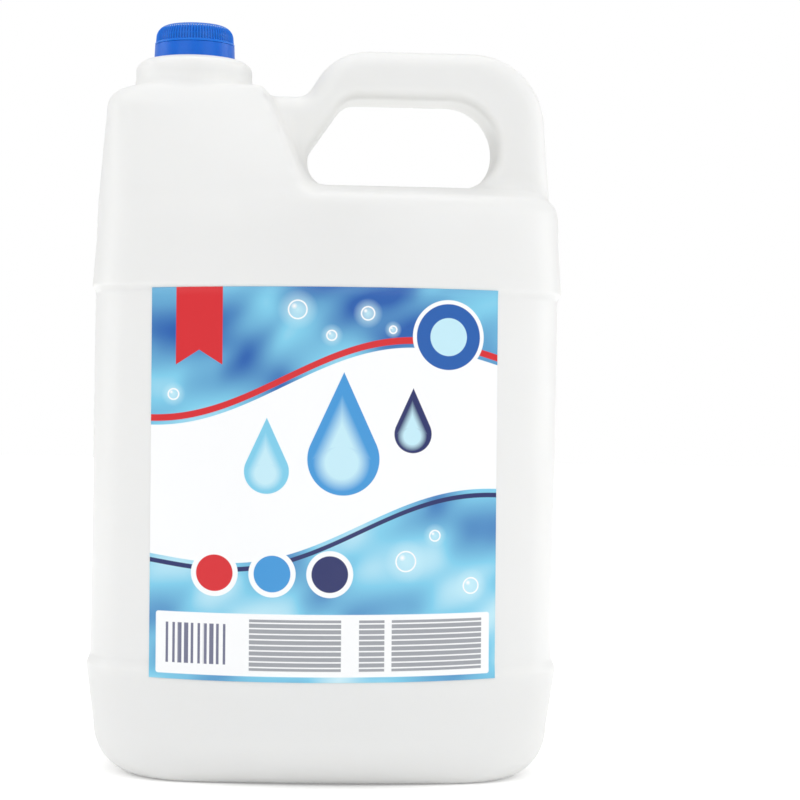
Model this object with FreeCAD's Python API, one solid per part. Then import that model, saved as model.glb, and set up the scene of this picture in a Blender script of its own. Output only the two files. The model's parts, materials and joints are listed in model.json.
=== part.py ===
import FreeCAD, Part
import math
import os

# A ten-litre blow-moulded bleach jug with a built-in handle, filled and closed with a ribbed screw cap.
# Millimetres. +Z is up, +X runs along the width from the neck side to the handle side, and the labelled
# face looks along -Y. The origin is the middle of the base, on the surface that the jug stands on.

# Jug: overall
BAND_WIDTH = 232.4           # over the two bands that stand proud of the label panel
BAND_DEPTH = 178.0           # over the two bowed faces, at the bands
FACE_BOW = 178.0             # radius of the bowed front and back faces
CORNER_RADIUS = 36.0         # vertical corners between a bowed face and a flat side
WALL = 1.2
TOWER_TOP = 339.2            # flat top around the round collar
HANDLE_TOP = 360.6

# Jug: heel and foot
FOOT_WIDTH = 178.0
FOOT_DEPTH = 128.0
FOOT_BOW = 900.0
FLAT_BOW = 4000.0            # radius of a face that looks flat
FOOT_CORNER = 34.0
HEEL_HEIGHT = 24.0           # top of the rounded heel
HEEL_TAPER = 3.9             # how far the heel's top lies inside the lower band
HEEL_STEPS = 9
BASE_RECESS = 4.0            # push-up under the base, so that the jug stands on its rim
RECESS_START = -1.0          # the cutter for it starts below the base
RECESS_MARGIN = 16.0         # width of the standing rim
RECESS_DRAFT = 10.0

# Jug: bands, ledges and label panel
LOWER_BAND_TOP = 52.4
LOWER_LEDGE = 6.6            # height of the step from the lower band in to the panel
UPPER_BAND_BOTTOM = 238.6
UPPER_LEDGE = 4.6
PANEL_SIDE_INSET = 1.65      # at the flat sides
PANEL_FACE_INSET = 0.5       # in the middle of the bowed faces
PANEL_BOW_CHANGE = 6.0       # the panel bows more tightly, so the step is deepest at the corners
LEDGE_STEPS = 4
BAND_LEAN_START = 262.0      # above this the faces roll back towards the shoulder
BAND_LEAN_INSET = 1.7
LEAN_SHARES = (0.0, 0.35, 0.7, 1.0)

# Jug: shoulder
SHOULDER_EDGE = 278.0        # where the walls turn over into the shoulder
SHOULDER_EDGE_SIDE = 1.9     # insets from the band there, at the sides and on the faces
SHOULDER_EDGE_FACE = 4.6
SHOULDER_TOP = 291.6         # floor of the hand hole
# Two slices between edge and top: share of the rise, inset from the edge at the sides and on the faces,
# bow as a multiple of the bands' bow, and tilt
SHOULDER_TURN = (0.26, 0.8, 3.2, 1.0, -0.5)
SHOULDER_ROOF = (0.42, 2.6, 10.0, 1.2, -0.9)
SHOULDER_TOP_SIDE = 9.0      # inset of the flat top from the bands, at the sides
SHOULDER_TOP_MARGIN = 2.0    # flat top in front of and behind the handle
SHOULDER_TOP_CORNER = 13.65

# Jug: tower that carries the neck, at the corner away from the handle
TOWER_LEAN_END = 328.5       # top of the leaning faces, where the top edge starts to round
TOWER_SIDE_INSET = 5.6       # from the band, at the top of the lean
TOWER_TOP_DEPTH = 90.0       # over the leaning faces, at the top of the lean
TOWER_TOP_CORNER = 16.0
TOWER_TOP_BOW = 900.0
TOWER_END_ROUND = 15.5       # width of the rounding at the outer end of the top
TOWER_FACE_ROUND = 3.5       # width of the rounding along the front and back of the top
TOWER_BULGE = 1.12           # above 1 the leaning faces belly out a little
TOWER_STEPS = 5
FLANK_TOP_X = -28.2          # inner flank of the tower at the middle plane, at the height of its top
FLANK_SLOPE = 0.47           # sideways run of the flank for each unit of height
FLANK_SWEEP = 0.15           # how far the flank draws back for each unit of depth
FLANK_CORNER = 8.0

# Jug: handle
HANDLE_DEPTH = 39.0
HANDLE_EDGE = 11.0           # rounding of the handle's long edges
VALLEY_Z = 336.9             # low saddle between tower and handle
RISE_FOOT_X = -11.5          # the rise from the saddle to the grip, before rounding
RISE_HEAD_X = 3.2
VALLEY_RADIUS = 8.0
RISE_RADIUS = 30.0
HANDLE_CORNER = 37.0
POST_TOP_X = 108.6           # outer edge of the post, at the height of the hole's ceiling
POST_FOOT_X = 114.0          # outer edge of the post at its root, inside the body
POST_FOOT_Z = 274.0
HOLE_TOP = 335.8
HOLE_RIGHT_X = 85.2
HOLE_LEFT_X = -10.6          # lower left corner of the hole, before rounding
HOLE_WEB_Z = 308.0           # where the hole's sloping left edge starts
HOLE_CEILING_X = 8.5         # where the sloping edge meets the ceiling
HOLE_UPPER_ROUND = 24.0
HOLE_LOWER_ROUND = 19.0
HOLE_LEFT_ROUND = 11.5
HOLE_CEILING_ROUND = 11.0
HOLE_EDGE = 6.0              # rounding of the hole's long edges

# Neck
NECK_X = -68.2
COLLAR_RADIUS = 29.4
COLLAR_FOOT = 331.6          # inside the tower
COLLAR_TOP = 349.2           # top of the collar's upright wall
COLLAR_DOME = 9.0            # width of the dome that rounds it over
NECK_SEAT = 355.0            # flat ring that the closure comes down to
NECK_TOP = 369.9
NECK_RADIUS = 17.5
NECK_BORE = 15.2
BEAD_RADIUS = 19.0
BEAD_Z = 357.9
BEAD_HEIGHT = 1.5
BEAD_SLOPE = 0.2             # rise of its underside
THREAD_PITCH = 4.233
THREAD_DEPTH = 1.2
THREAD_ROOT_WIDTH = 2.3
THREAD_CREST_WIDTH = 1.0
THREAD_TURNS = 1.0
THREAD_START_Z = 364.2       # middle of the thread where it starts
THREAD_CLEARANCE = 0.35      # between crest and root of the two threads
THREAD_MARGIN = 0.3          # cap's lower edge to its thread
SINK = 0.25                  # how far a ridge reaches into the wall that it grows from

# Jug: planes where the one moulding is divided into four solids, which meet face to face
BODY_SPLIT_Z = 270.0         # body below, tower and handle above
TOWER_SPLIT_X = -20.0        # tower on one side, handle on the other
NECK_SPLIT_Z = 356.0         # neck above, just over its seat

# Closure
CAP_RADIUS = 20.1
CAP_TOP = 372.4
CAP_PANEL = 1.5
CAP_EDGE = 5.4               # rounding at the top edge
CAP_CHAMFER_WIDTH = 1.65     # inside, where the wall meets the top
CAP_CHAMFER_HEIGHT = 1.9
RIB_COUNT = 84
RIB_DEPTH = 0.4
RIB_FOOT = 1.2               # plain ring below the ribs, at the lower edge of the cap
RIB_REACH = 0.02             # how far the ribs' tips are drawn past the cap's radius
BAND_TOP_RADIUS = 20.15
BAND_FOOT_RADIUS = 20.45
BAND_HEIGHT = 7.0
BAND_LIP = 1.3               # height of the lip that hooks under the bead
BAND_CLEARANCE = 0.25        # round the neck, and under the bead
TEAR_GAP = 0.3               # slit between cap and tamper band
NIB_COUNT = 8
NIB_WIDTH = 0.8
NIB_MARGIN = 0.05            # inside the band's wall, on both sides
LINER_RADIUS = 17.3          # Label and contents
LABEL_WIDTH = 165.0
LABEL_FOOT = 51.4
LABEL_HEAD = 236.8
LABEL_OFFSET_X = -2.4        # the film sits a little towards the neck side
LABEL_SKEW = 0.5             # degrees by which it was put on out of level
LABEL_FILM = 0.2
LABEL_GAP = 0.15             # glue between the wall and the film
FILL_LEVEL = 300.6           # 9.46 litres
FILL_CLEARANCE = 0.3

# Worked out from the sizes above
HALF_WIDTH = BAND_WIDTH / 2
HALF_DEPTH = BAND_DEPTH / 2
HANDLE_HALF = HANDLE_DEPTH / 2
LINER_THICKNESS = CAP_TOP - CAP_PANEL - NECK_TOP
TAMPER_FOOT = NECK_SEAT + BAND_CLEARANCE
TAMPER_TOP = TAMPER_FOOT + BAND_HEIGHT
CAP_FOOT = TAMPER_TOP + TEAR_GAP
CAP_BORE = NECK_RADIUS + THREAD_DEPTH + THREAD_CLEARANCE
FAR = 400.0                  # beyond every part of the jug
TOUCH = 0.01                 # edges closer than this lie together

Vec = FreeCAD.Vector


def blend(a, b, t):
    """The value a share t of the way from a to b."""
    return a + (b - a) * t


def blend_bow(a, b, t):
    """A radius a share t of the way from a to b, blended as curvature."""
    return 1 / blend(1 / a, 1 / b, t)


def ease(t):
    """A share that starts and ends level, for an S-shaped step."""
    return (1 - math.cos(math.pi * t)) / 2


class Level:
    """One horizontal slice of the jug: bowed front and back, flat sides, round corners.

    tilt is the upward part of the wall's inward normal: 1 on the floor, 0 on a wall, -1 under a top.
    """

    def __init__(self, z, half_width, half_depth, bow, corner, tilt=0.0):
        self.z = z
        self.half_width = half_width
        self.half_depth = half_depth
        self.bow = bow
        self.corner = corner
        self.tilt = tilt

    def inset(self, wall):
        """The same slice, moved in by the wall along its normal."""
        side = wall * math.sqrt(1 - self.tilt ** 2)
        return Level(self.z + wall * self.tilt, self.half_width - side, self.half_depth - side,
                     self.bow - side, self.corner - side, self.tilt)

    def wire(self):
        """The slice's closed outline: four corner arcs, two bowed faces and two straight sides."""
        cx = self.half_width - self.corner
        bow_y = self.bow - self.half_depth
        reach = self.bow - self.corner
        cy = bow_y - math.sqrt(reach ** 2 - cx ** 2)
        ux, uy = cx / reach, (cy - bow_y) / reach
        tx, ty = ux * self.bow, bow_y + uy * self.bow
        mid = math.atan2(uy, ux) / 2
        mx, my = cx + self.corner * math.cos(mid), cy + self.corner * math.sin(mid)
        z = self.z

        def at(x, y):
            return Vec(x, y, z)

        return Part.Wire([
            Part.Arc(at(-tx, ty), at(0, -self.half_depth), at(tx, ty)).toShape(),
            Part.Arc(at(tx, ty), at(mx, my), at(self.half_width, cy)).toShape(),
            Part.makeLine(at(self.half_width, cy), at(self.half_width, -cy)),
            Part.Arc(at(self.half_width, -cy), at(mx, -my), at(tx, -ty)).toShape(),
            Part.Arc(at(tx, -ty), at(0, self.half_depth), at(-tx, -ty)).toShape(),
            Part.Arc(at(-tx, -ty), at(-mx, -my), at(-self.half_width, -cy)).toShape(),
            Part.makeLine(at(-self.half_width, -cy), at(-self.half_width, cy)),
            Part.Arc(at(-self.half_width, cy), at(-mx, my), at(-tx, ty)).toShape(),
        ])


def loft(levels, wall):
    """A solid through a stack of slices, all moved in by the wall."""
    return Part.makeLoft([level.inset(wall).wire() for level in levels], True, True)


def band(z, side=0.0, face=0.0):
    """A slice at the bands' size, less an inset at the sides and one on the faces."""
    return Level(z, HALF_WIDTH - side, HALF_DEPTH - face, FACE_BOW, CORNER_RADIUS)


def panel(z, share=1.0):
    """A slice on the way in from the bands to the label panel."""
    return Level(z, HALF_WIDTH - PANEL_SIDE_INSET * share, HALF_DEPTH - PANEL_FACE_INSET * share,
                 FACE_BOW - PANEL_BOW_CHANGE * share, CORNER_RADIUS)


def heel_levels():
    """Slices from the foot up round the heel, on an elliptical curve."""
    levels = []
    for step in range(HEEL_STEPS + 1):
        angle = math.radians(90 * step / HEEL_STEPS)
        out = math.sin(angle)
        levels.append(Level(HEEL_HEIGHT * (1 - math.cos(angle)),
                            blend(FOOT_WIDTH / 2, HALF_WIDTH - HEEL_TAPER, out),
                            blend(FOOT_DEPTH / 2, HALF_DEPTH - HEEL_TAPER, out),
                            blend_bow(FOOT_BOW, FACE_BOW, out),
                            blend(FOOT_CORNER, CORNER_RADIUS, out),
                            math.cos(angle)))
    return levels


def lean_level(share):
    """A slice of the faces' roll back from the upper band to the shoulder's edge."""
    roll = share ** 2
    return band(blend(BAND_LEAN_START, SHOULDER_EDGE, share),
                blend(BAND_LEAN_INSET, SHOULDER_EDGE_SIDE, roll),
                blend(BAND_LEAN_INSET, SHOULDER_EDGE_FACE, roll))


def body_levels():
    """Slices from the foot to the shoulder's edge."""
    levels = heel_levels()
    levels.append(band(LOWER_BAND_TOP))
    for step in range(1, LEDGE_STEPS + 1):
        share = step / LEDGE_STEPS
        levels.append(panel(LOWER_BAND_TOP + LOWER_LEDGE * share, ease(share)))
    for step in range(LEDGE_STEPS + 1):
        share = step / LEDGE_STEPS
        levels.append(panel(UPPER_BAND_BOTTOM - UPPER_LEDGE * (1 - share), 1 - ease(share)))
    levels += [lean_level(share) for share in LEAN_SHARES]
    return levels


def shoulder_levels():
    """Slices that close the body over like a low hipped roof, up to the floor of the hand hole."""
    edge = lean_level(1.0)
    rise = SHOULDER_TOP - SHOULDER_EDGE
    between = [Level(edge.z + rise * share, edge.half_width - side, edge.half_depth - face, FACE_BOW * bow,
                     CORNER_RADIUS, tilt)
               for share, side, face, bow, tilt in (SHOULDER_TURN, SHOULDER_ROOF)]
    top = Level(SHOULDER_TOP, HALF_WIDTH - SHOULDER_TOP_SIDE, HANDLE_HALF + SHOULDER_TOP_MARGIN, FLAT_BOW,
                SHOULDER_TOP_CORNER, -1.0)
    return [edge, *between, top]


def tower_levels():
    """Slices of the leaning faces above the shoulder's edge, and of the rounding at the top."""
    edge = lean_level(1.0)
    top = Level(TOWER_LEAN_END, HALF_WIDTH - TOWER_SIDE_INSET, TOWER_TOP_DEPTH / 2, TOWER_TOP_BOW,
                TOWER_TOP_CORNER)
    lean = (edge.half_depth - top.half_depth) / (top.z - edge.z)
    tilt = -math.sin(math.atan(lean))
    levels = []
    for step in range(TOWER_STEPS + 1):
        share = step / TOWER_STEPS
        levels.append(Level(blend(edge.z, top.z, share),
                            blend(edge.half_width, top.half_width, share),
                            blend(edge.half_depth, top.half_depth, share ** TOWER_BULGE),
                            blend_bow(FACE_BOW, TOWER_TOP_BOW, share),
                            blend(CORNER_RADIUS, TOWER_TOP_CORNER, share), tilt * share))
    for step in range(1, TOWER_STEPS + 1):
        angle = math.radians(90 * step / TOWER_STEPS)
        turn = 1 - math.cos(angle)
        z = blend(top.z, TOWER_TOP, math.sin(angle))
        levels.append(Level(z, top.half_width - TOWER_END_ROUND * turn,
                            top.half_depth - lean * (z - top.z) - TOWER_FACE_ROUND * turn ** 2,
                            TOWER_TOP_BOW, TOWER_TOP_CORNER, blend(tilt, -1.0, math.sin(angle))))
    return levels


def outline(corners):
    """A closed outline in the XZ plane from corners (x, z, radius), each rounded by its radius."""
    edges = []
    count = len(corners)
    ends = []
    for i, (x, z, radius) in enumerate(corners):
        here = Vec(x, 0, z)
        before = Vec(corners[i - 1][0], 0, corners[i - 1][1]) - here
        after = Vec(corners[(i + 1) % count][0], 0, corners[(i + 1) % count][1]) - here
        if radius == 0:
            ends.append((here, here))
            continue
        half = before.getAngle(after) / 2
        before.normalize()
        after.normalize()
        reach = radius / math.tan(half)
        middle = before + after
        middle.normalize()
        start, end = here + before * reach, here + after * reach
        crest = here + middle * (radius / math.sin(half) - radius)
        edges.append((i, Part.Arc(start, crest, end).toShape()))
        ends.append((start, end))
    arcs = dict(edges)
    loop = []
    for i in range(count):
        if i in arcs:
            loop.append(arcs[i])
        start, end = ends[i][1], ends[(i + 1) % count][0]
        loop.append(Part.makeLine(start, end))
    return Part.Wire(loop)


def right_of_flank(wall):
    """Everything on the handle's side of the tower's inner flank, as a cutter for the tower."""
    def side(y):
        shift = -wall - FLANK_SWEEP * abs(y)
        top = TOWER_TOP - wall
        foot_x = FLANK_TOP_X + shift + FLANK_SLOPE * (top - SHOULDER_EDGE)
        wire = outline([
            (FLANK_TOP_X + shift, top, FLANK_CORNER),
            (foot_x, SHOULDER_EDGE, 0),
            (FAR, SHOULDER_EDGE, 0),
            (FAR, FAR, 0),
            (NECK_X, FAR, 0),
            (NECK_X, top, 0),
        ])
        wire.translate(Vec(0, y, 0))
        return wire

    front = Part.makeLoft([side(0), side(-HALF_DEPTH)], True, True)
    back = Part.makeLoft([side(0), side(HALF_DEPTH)], True, True)
    return front.fuse(back)


def handle_faces(wall):
    """The handle's side view, from inside the tower to inside the shoulder, and its hand hole."""
    post_slope = (POST_FOOT_X - POST_TOP_X) / (HOLE_TOP - POST_FOOT_Z)
    root_x = FLANK_TOP_X - HANDLE_HALF
    outer = outline([
        (root_x, POST_FOOT_Z, 0),
        (POST_FOOT_X, POST_FOOT_Z, 0),
        (POST_TOP_X - post_slope * (HANDLE_TOP - HOLE_TOP), HANDLE_TOP, HANDLE_CORNER),
        (RISE_HEAD_X, HANDLE_TOP, RISE_RADIUS),
        (RISE_FOOT_X, VALLEY_Z, VALLEY_RADIUS),
        (root_x, VALLEY_Z, 0),
    ])
    hole = outline([
        (HOLE_LEFT_X, SHOULDER_TOP, HOLE_LEFT_ROUND),
        (HOLE_RIGHT_X, SHOULDER_TOP, HOLE_LOWER_ROUND),
        (HOLE_RIGHT_X, HOLE_TOP, HOLE_UPPER_ROUND),
        (HOLE_CEILING_X, HOLE_TOP, HOLE_CEILING_ROUND),
        (HOLE_LEFT_X, HOLE_WEB_Z, HOLE_LEFT_ROUND),
    ])
    outer, hole = Part.Face(outer), Part.Face(hole)
    if wall:
        outer, hole = outer.makeOffset2D(-wall), hole.makeOffset2D(wall)
    return outer, hole


def face_edges(solid, half, box):
    """The edges in the front and back faces of a slab that lie over a box of the XZ plane."""
    found = []
    for edge in solid.Edges:
        here = edge.BoundBox
        in_face = here.YLength < TOUCH and abs(abs(here.YMin) - half) < TOUCH
        over = (here.XMin > box.XMin - TOUCH and here.XMax < box.XMax + TOUCH
                and here.ZMin > box.ZMin - TOUCH and here.ZMax < box.ZMax + TOUCH)
        if in_face and over:
            found.append(edge)
    return found


def handle(wall):
    """The handle's outer or inner shape: a slab with a hand hole, with its long edges rounded."""
    half = HANDLE_HALF - wall
    outer, hole = handle_faces(wall)
    slabs = []
    for face in (outer, hole):
        face.translate(Vec(0, -half, 0))
        slabs.append(face.extrude(Vec(0, 2 * half, 0)))
    grip = slabs[0].makeFillet(HANDLE_EDGE - wall, face_edges(slabs[0], half, outer.BoundBox))
    holed = grip.cut(slabs[1])
    return holed.makeFillet(HOLE_EDGE - wall, face_edges(holed, half, hole.BoundBox))


def collar(wall):
    """The round collar and neck above the tower, as a solid of revolution."""
    radius = COLLAR_RADIUS - wall
    seat = NECK_SEAT - wall
    dome_start = COLLAR_TOP - wall
    neck = NECK_BORE if wall else NECK_RADIUS
    top = FAR if wall else NECK_TOP
    dome_x = radius - COLLAR_DOME
    lift = seat - dome_start
    points = [Vec(0, 0, COLLAR_FOOT), Vec(radius, 0, COLLAR_FOOT), Vec(radius, 0, dome_start)]
    edges = [Part.makeLine(points[0], points[1]), Part.makeLine(points[1], points[2])]
    middle = Vec(dome_x + COLLAR_DOME * math.cos(math.radians(45)), 0,
                 dome_start + lift * math.sin(math.radians(45)))
    crest = Vec(dome_x, 0, seat)
    edges.append(Part.Arc(points[2], middle, crest).toShape())
    rest = [crest, Vec(neck, 0, seat), Vec(neck, 0, top), Vec(0, 0, top), points[0]]
    edges += [Part.makeLine(a, b) for a, b in zip(rest, rest[1:])]
    solid = Part.Face(Part.Wire(edges)).revolve(Vec(0, 0, 0), Vec(0, 0, 1), 360)
    solid.translate(Vec(NECK_X, 0, 0))
    return solid


def recess(wall):
    """The shallow push-up in the middle of the base, grown by the wall when seen from inside."""
    half_width = FOOT_WIDTH / 2 - RECESS_MARGIN + wall
    half_depth = FOOT_DEPTH / 2 - RECESS_MARGIN + wall
    corner = FOOT_CORNER - RECESS_MARGIN / 2
    low = Level(RECESS_START, half_width, half_depth, FOOT_BOW, corner)
    high = Level(BASE_RECESS + wall, half_width - RECESS_DRAFT, half_depth - RECESS_DRAFT, FOOT_BOW,
                 corner - RECESS_DRAFT / 2)
    return loft([low, high], 0)


def jug_lumps(wall):
    """The lumps that make up the jug, moved in by the wall: the outside at 0, the cavity at the wall."""
    return [
        loft(body_levels(), wall).cut(recess(wall)),
        loft(shoulder_levels(), wall),
        loft(tower_levels(), wall).cut(right_of_flank(wall)),
        handle(wall),
        collar(wall),
    ]


def thread(radius, start_z, turns, outwards, start_turn=0.0):
    """A helical ridge of trapezoid section, standing out from a wall or in from it.

    It follows the helix that passes start_z at no turn, from start_turn onwards.
    """
    sign = 1 if outwards else -1
    height = THREAD_PITCH * turns
    helix = Part.makeHelix(THREAD_PITCH, height, radius)
    root = radius - sign * SINK
    crest = radius + sign * THREAD_DEPTH
    half_root, half_crest = THREAD_ROOT_WIDTH / 2, THREAD_CREST_WIDTH / 2
    corners = [Vec(root, 0, -half_root), Vec(crest, 0, -half_crest), Vec(crest, 0, half_crest),
               Vec(root, 0, half_root)]
    profile = Part.makePolygon(corners + corners[:1])
    ridge = Part.Wire(helix.Edges).makePipeShell([profile], True, True)
    ridge.rotate(Vec(0, 0, 0), Vec(0, 0, 1), 360 * start_turn)
    ridge.translate(Vec(NECK_X, 0, start_z + THREAD_PITCH * start_turn))
    return ridge


def ring(points):
    """A solid of revolution about the neck's axis from corners (radius, z)."""
    corners = [Vec(r, 0, z) for r, z in points]
    face = Part.Face(Part.makePolygon(corners + corners[:1]))
    solid = face.revolve(Vec(0, 0, 0), Vec(0, 0, 1), 360)
    solid.translate(Vec(NECK_X, 0, 0))
    return solid


def make_jug():
    outside = jug_lumps(0)
    shell = outside[0].multiFuse(outside[1:])
    for lump in jug_lumps(WALL):
        shell = shell.cut(lump)
    bead = ring([(NECK_RADIUS - SINK, BEAD_Z), (NECK_RADIUS, BEAD_Z), (BEAD_RADIUS, BEAD_Z + BEAD_SLOPE),
                 (BEAD_RADIUS, BEAD_Z + BEAD_HEIGHT / 2), (NECK_RADIUS, BEAD_Z + BEAD_HEIGHT),
                 (NECK_RADIUS - SINK, BEAD_Z + BEAD_HEIGHT)])
    ridge = thread(NECK_RADIUS, THREAD_START_Z, THREAD_TURNS, True)
    return shell.multiFuse([bead, ridge])


def divide_jug(jug):
    """The jug's four solids, which meet face to face: body, tower, neck and handle."""
    def block(low_x, high_x, low_z, high_z):
        return Part.makeBox(high_x - low_x, 2 * FAR, high_z - low_z, Vec(low_x, -FAR, low_z))

    return {
        "jug_body": jug.common(block(-FAR, FAR, -FAR, BODY_SPLIT_Z)),
        "jug_tower": jug.common(block(-FAR, TOWER_SPLIT_X, BODY_SPLIT_Z, NECK_SPLIT_Z)),
        "jug_neck": jug.common(block(-FAR, TOWER_SPLIT_X, NECK_SPLIT_Z, FAR)),
        "jug_handle": jug.common(block(TOWER_SPLIT_X, FAR, BODY_SPLIT_Z, FAR)),
    }


def make_fill():
    inset = WALL + FILL_CLEARANCE
    lumps = jug_lumps(inset)
    above = Part.makeBox(2 * FAR, 2 * FAR, FAR, Vec(-FAR, -FAR, FILL_LEVEL))
    return lumps[0].multiFuse(lumps[1:4]).cut(above)


def make_label():
    outside = loft(body_levels(), -LABEL_GAP - LABEL_FILM)
    window = Part.makeBox(LABEL_WIDTH, FAR, LABEL_HEAD - LABEL_FOOT,
                          Vec(LABEL_OFFSET_X - LABEL_WIDTH / 2, -FAR, LABEL_FOOT))
    window.rotate(Vec(LABEL_OFFSET_X, 0, (LABEL_FOOT + LABEL_HEAD) / 2), Vec(0, -1, 0), LABEL_SKEW)
    return outside.common(window).cut(loft(body_levels(), -LABEL_GAP))


def make_cap():
    ceiling = CAP_TOP - CAP_PANEL
    shell = ring([(0, CAP_TOP), (0, ceiling), (CAP_BORE - CAP_CHAMFER_WIDTH, ceiling),
                  (CAP_BORE, ceiling - CAP_CHAMFER_HEIGHT), (CAP_BORE, CAP_FOOT),
                  (CAP_RADIUS, CAP_FOOT), (CAP_RADIUS, CAP_TOP)])
    top_edges = [edge for edge in shell.Edges
                 if abs(edge.BoundBox.ZMin - CAP_TOP) < TOUCH and edge.BoundBox.ZLength < TOUCH]
    shell = shell.makeFillet(CAP_EDGE, top_edges)
    shell = shell.common(rib_prism())
    helix_z = THREAD_START_Z - THREAD_PITCH / 2
    lowest = CAP_FOOT + THREAD_MARGIN + THREAD_ROOT_WIDTH / 2
    ridge = thread(CAP_BORE, helix_z, THREAD_TURNS, False, (lowest - helix_z) / THREAD_PITCH)
    return shell.fuse(ridge)


def rib_prism():
    """A tall star whose points are the cap's ribs, over a plain round foot."""
    corners = []
    for i in range(2 * RIB_COUNT):
        angle = math.pi * i / RIB_COUNT
        radius = CAP_RADIUS + RIB_REACH if i % 2 == 0 else CAP_RADIUS - RIB_DEPTH
        corners.append(Vec(NECK_X + radius * math.cos(angle), radius * math.sin(angle), CAP_FOOT + RIB_FOOT))
    star = Part.Face(Part.makePolygon(corners + corners[:1])).extrude(Vec(0, 0, FAR))
    foot = ring([(0, CAP_FOOT - SINK), (CAP_RADIUS + SINK, CAP_FOOT - SINK),
                 (CAP_RADIUS + SINK, CAP_FOOT + RIB_FOOT), (0, CAP_FOOT + RIB_FOOT)])
    return star.fuse(foot)


def make_tamper_band():
    lip_radius = NECK_RADIUS + BAND_CLEARANCE
    inner = BEAD_RADIUS + BAND_CLEARANCE
    lip_top = BEAD_Z - BAND_CLEARANCE
    hoop = ring([(BAND_FOOT_RADIUS, TAMPER_FOOT), (BAND_TOP_RADIUS, TAMPER_TOP), (inner, TAMPER_TOP),
                 (inner, lip_top), (lip_radius, lip_top), (lip_radius, lip_top - BAND_LIP),
                 (inner, TAMPER_FOOT)])
    nibs = []
    for i in range(NIB_COUNT):
        nib = Part.makeBox(BAND_TOP_RADIUS - inner - 2 * NIB_MARGIN, NIB_WIDTH, TEAR_GAP + SINK,
                           Vec(inner + NIB_MARGIN, -NIB_WIDTH / 2, TAMPER_TOP - SINK))
        nib.rotate(Vec(0, 0, 0), Vec(0, 0, 1), 360 * i / NIB_COUNT)
        nib.translate(Vec(NECK_X, 0, 0))
        nibs.append(nib)
    return hoop.multiFuse(nibs)


def make_liner():
    return Part.makeCylinder(LINER_RADIUS, LINER_THICKNESS, Vec(NECK_X, 0, NECK_TOP))


PARTS = divide_jug(make_jug()) | {
    "bleach_fill": make_fill(),
    "front_label": make_label(),
    "screw_cap": make_cap(),
    "tamper_band": make_tamper_band(),
    "cap_liner": make_liner(),
}

os.makedirs("parts", exist_ok=True)
for name, shape in PARTS.items():
    shape.exportStep("parts/" + name + ".step")
    box = shape.BoundBox
    print(name, "solids", len(shape.Solids), "valid", shape.isValid(), "litres", round(shape.Volume / 1e6, 4),
          "box", [round(v, 2) for v in (box.XMin, box.YMin, box.ZMin, box.XMax, box.YMax, box.ZMax)])
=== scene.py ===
# %% [markdown]
# A large white jug of bleach. The real one is blown from one tube of polyethylene inside a mould, so
# its wall is one even skin, every edge is a soft round, and the handle is hollow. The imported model
# already holds each part at its true size. This lesson dresses it: a smooth skin for the jug, ribs
# that run over the edge of the cap, a printed film, and the finishes. Sizes are in millimetres, as on
# a drawing, and `MM` turns them into Blender's metres.

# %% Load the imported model
import json
import math

import bmesh
import bpy
import numpy as np
from mathutils import Matrix, Vector

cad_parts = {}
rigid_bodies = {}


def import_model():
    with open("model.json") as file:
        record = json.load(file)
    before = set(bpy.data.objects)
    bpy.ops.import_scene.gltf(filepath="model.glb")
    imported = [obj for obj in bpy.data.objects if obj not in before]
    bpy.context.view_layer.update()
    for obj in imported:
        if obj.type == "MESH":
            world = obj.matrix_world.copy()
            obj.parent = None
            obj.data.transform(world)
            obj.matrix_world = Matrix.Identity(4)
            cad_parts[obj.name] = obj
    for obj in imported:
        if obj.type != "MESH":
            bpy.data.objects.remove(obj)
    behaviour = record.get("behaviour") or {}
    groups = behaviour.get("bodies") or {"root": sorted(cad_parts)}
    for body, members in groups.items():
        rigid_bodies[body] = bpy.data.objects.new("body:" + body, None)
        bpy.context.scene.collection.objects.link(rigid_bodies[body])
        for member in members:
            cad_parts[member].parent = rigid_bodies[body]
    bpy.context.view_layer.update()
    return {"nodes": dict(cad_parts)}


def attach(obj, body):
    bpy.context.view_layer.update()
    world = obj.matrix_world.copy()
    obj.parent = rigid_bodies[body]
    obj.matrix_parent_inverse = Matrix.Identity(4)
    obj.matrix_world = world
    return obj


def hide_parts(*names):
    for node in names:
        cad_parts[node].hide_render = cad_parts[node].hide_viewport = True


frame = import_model()
nodes = frame["nodes"]
MM = 0.001
print("nodes:", ", ".join(sorted(nodes)))

# %% [markdown]
# A product picture is taken from far away with a long lens, a little above the middle of the jug. The
# lens is shifted, as on a studio camera, because the jug stands left of the middle of its frame. The
# camera is also turned by one degree, which is how the jug leans in the frame.

# %% Camera
CAMERA_DISTANCE = 1079.8
CAMERA_HEIGHT = 180.5
CAMERA_AZIMUTH = -3.0
CAMERA_ROLL = 0.976
FOCAL_PIXELS = 2118.0
FRAME_PIXELS = 800.0
AXIS_COLUMN = 322.8
AXIS_ROW = 407.0

camera_data = bpy.data.cameras.new("camera")
camera_data.lens = FOCAL_PIXELS / FRAME_PIXELS * camera_data.sensor_width
camera_data.shift_x = (FRAME_PIXELS / 2 - AXIS_COLUMN) / FRAME_PIXELS
camera_data.shift_y = (AXIS_ROW - FRAME_PIXELS / 2) / FRAME_PIXELS
camera = bpy.data.objects.new("camera", camera_data)
heading = math.radians(CAMERA_AZIMUTH)
camera.matrix_world = (
    Matrix.Translation(Vector((math.sin(heading) * CAMERA_DISTANCE,
                               -math.cos(heading) * CAMERA_DISTANCE, CAMERA_HEIGHT)) * MM)
    @ Matrix.Rotation(heading, 4, "Z")
    @ Matrix.Rotation(math.radians(90), 4, "X")
    @ Matrix.Rotation(math.radians(CAMERA_ROLL), 4, "Z")
)
bpy.context.scene.collection.objects.link(camera)
bpy.context.scene.camera = camera
bpy.context.scene.view_settings.view_transform = "Standard"
print("lens", round(camera_data.lens, 1), "mm")

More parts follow.
